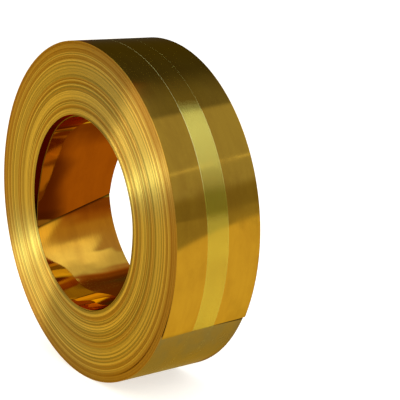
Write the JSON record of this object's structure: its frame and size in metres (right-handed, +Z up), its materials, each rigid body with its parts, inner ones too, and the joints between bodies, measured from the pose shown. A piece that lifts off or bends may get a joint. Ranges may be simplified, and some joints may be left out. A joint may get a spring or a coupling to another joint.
{
  "type": "roll of brass strip",
  "caption": "Spiral-wound roll of flat brass strip with an open bore, held by a band of clear tape around its curved side.",
  "frame": {"origin": "on the floor under the middle of the roll's box", "axes": "+Y along the roll's axis, away from the end face that the picture shows, and +Z up"},
  "size_m": [0.3474, 0.0956, 0.3469],
  "materials": {
    "rolled_brass": "bright rolled, slit edges satin",
    "clear_tape": "clear film"
  },
  "bodies": {
    "root": {"strip_roll": "rolled_brass", "holding_tape": "clear_tape"}
  },
  "joints": []
}
